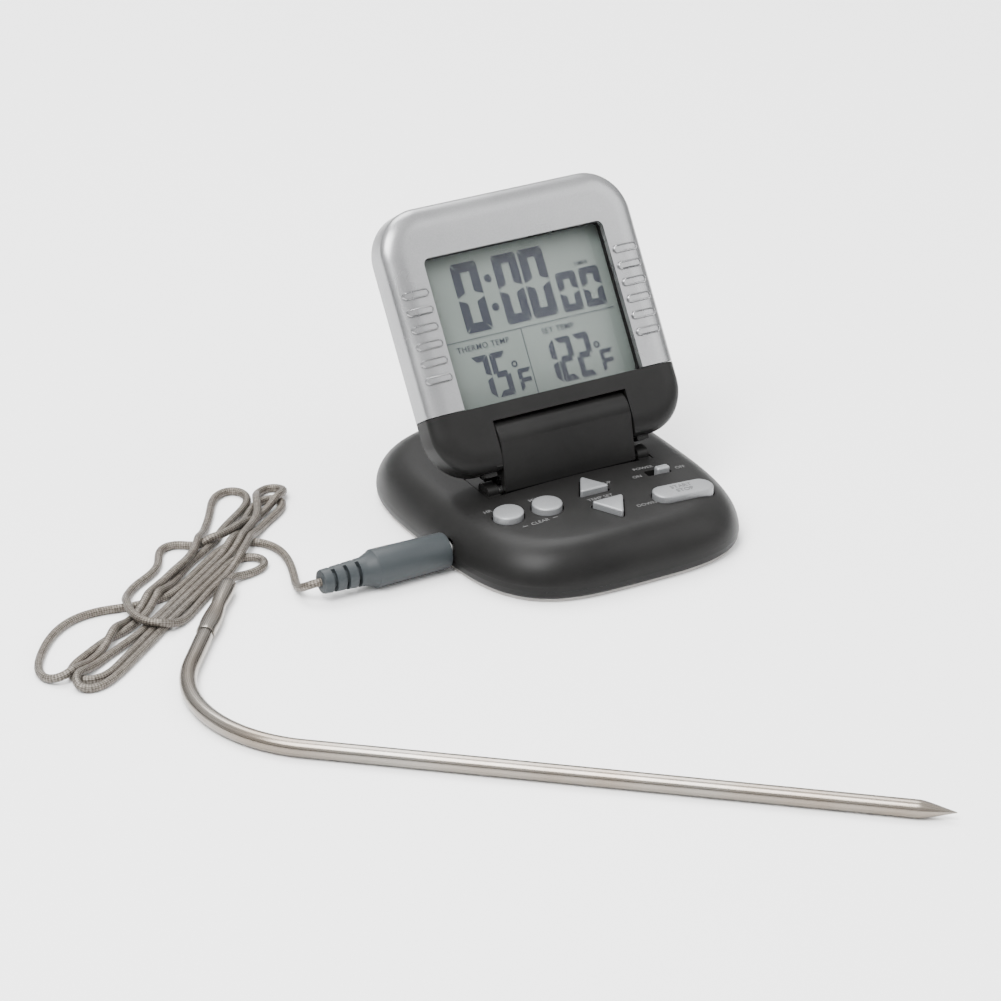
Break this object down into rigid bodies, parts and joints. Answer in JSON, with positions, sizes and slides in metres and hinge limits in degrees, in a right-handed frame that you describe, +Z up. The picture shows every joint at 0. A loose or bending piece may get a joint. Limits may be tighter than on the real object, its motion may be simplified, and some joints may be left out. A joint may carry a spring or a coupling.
{
  "type": "meat thermometer",
  "caption": "Countertop digital probe thermometer and timer: low keyed base, display head on a folding hinge link, and a bent steel probe on a braided plug-in lead.",
  "frame": {"origin": "middle of the base pad's underside, on the surface the thermometer stands on", "axes": "+Z up, +X to the right as the display is read, +Y to the back, away from the user; the display leans back towards +Y"},
  "size_m": [0.1735, 0.2105, 0.0714],
  "materials": {
    "black_abs": "fine spark-eroded black moulding",
    "dark_moulding": "smooth dark moulding",
    "silver_paint": "satin silver metallic paint on plastic",
    "key_grey": "silver-grey lacquered key caps",
    "plug_grey": "soft blue-grey moulded vinyl",
    "pad_grey": "thin non-slip foam rubber sheet",
    "steel": "fine-drawn stainless steel",
    "probe_steel": "drawn stainless tube, faintly brushed along its length",
    "braid": "fine stainless wire braid over insulated wires",
    "contact_brass": "nickel-plated brass contact",
    "board_green": "green circuit board",
    "clear_lens": "clear glossy acrylic window",
    "lcd_grey": "grey-green liquid crystal panel",
    "key_rubber": "translucent silicone key mat"
  },
  "bodies": {
    "base": {"base_pad": "pad_grey", "base_bottom_shell": "black_abs", "base_top_cover": "black_abs", "base_screw_front_left": "steel", "base_screw_front_right": "steel", "base_screw_rear_left": "steel", "base_screw_rear_right": "steel", "jack_socket": "dark_moulding", "main_board": "board_green", "key_mat": "key_rubber", "switch_body": "dark_moulding", "coin_cell": "steel", "contact_spring": "contact_brass", "contact_side": "contact_brass", "buzzer": "contact_brass", "hinge_bracket": "dark_moulding", "lower_hinge_pin": "steel"},
    "link": {"hinge_link": "black_abs", "link_rear_cover": "black_abs"},
    "head": {"head_bezel": "silver_paint", "head_chin": "black_abs", "head_back_shell": "black_abs", "window_frame": "dark_moulding", "display_lens": "clear_lens", "lcd_panel": "lcd_grey", "contact_strip": "key_rubber", "head_board": "board_green", "head_screw_top_left": "steel", "head_screw_top_right": "steel", "head_screw_bottom_left": "steel", "head_screw_bottom_right": "steel", "upper_hinge_pin": "steel", "friction_washer_left": "contact_brass", "friction_washer_right": "contact_brass"},
    "round_key_left": {"key_round_left": "key_grey"},
    "round_key_right": {"key_round_right": "key_grey"},
    "up_key": {"key_up": "key_grey"},
    "down_key": {"key_down": "key_grey"},
    "start_stop_key": {"key_start_stop": "key_grey"},
    "slide_switch": {"switch_knob": "key_grey"},
    "door": {"battery_door": "black_abs"},
    "lead": {"plug_grip": "plug_grey", "plug_pin": "steel", "cord_lead": "braid", "cord_hank": "braid", "cord_tail": "braid", "probe_sleeve": "probe_steel", "probe_stem": "probe_steel", "probe_tip": "probe_steel"}
  },
  "joints": [
    {"name": "link_fold", "type": "hinge", "parent": "base", "child": "link", "pos_m": [0, -0.0038, 0.0124], "axis": [-1, 0, 0], "range_deg": [0, 25]},
    {"name": "head_tilt", "type": "hinge", "parent": "link", "child": "head", "pos_m": [0, -0.00022, 0.02329], "axis": [1, 0, 0], "range_deg": [-30, 98]},
    {"name": "round_key_left_press", "type": "slide", "parent": "base", "child": "round_key_left", "axis": [0, 0, -1], "range_m": [0, 0.0008], "stiffness_N_per_m": 1000, "springref_m": -0.0003},
    {"name": "round_key_right_press", "type": "slide", "parent": "base", "child": "round_key_right", "axis": [0, 0, -1], "range_m": [0, 0.0008], "stiffness_N_per_m": 1000, "springref_m": -0.0003},
    {"name": "up_key_press", "type": "slide", "parent": "base", "child": "up_key", "axis": [0, 0, -1], "range_m": [0, 0.0008], "stiffness_N_per_m": 1000, "springref_m": -0.0003},
    {"name": "down_key_press", "type": "slide", "parent": "base", "child": "down_key", "axis": [0, 0, -1], "range_m": [0, 0.0008], "stiffness_N_per_m": 1000, "springref_m": -0.0003},
    {"name": "start_stop_key_press", "type": "slide", "parent": "base", "child": "start_stop_key", "axis": [0, 0, -1], "range_m": [0, 0.0008], "stiffness_N_per_m": 1000, "springref_m": -0.0003},
    {"name": "power_switch", "type": "slide", "parent": "base", "child": "slide_switch", "axis": [-1, 0, 0], "range_m": [0, 0.0022]},
    {"name": "battery_door_twist", "type": "hinge", "parent": "base", "child": "door", "pos_m": [0, 0.022, 0.001], "axis": [0, 0, 1], "range_deg": [0, 50]},
    {"name": "plug_pull", "type": "slide", "parent": "base", "child": "lead", "axis": [-1, 0, 0], "range_m": [0, 0.013]}
  ]
}
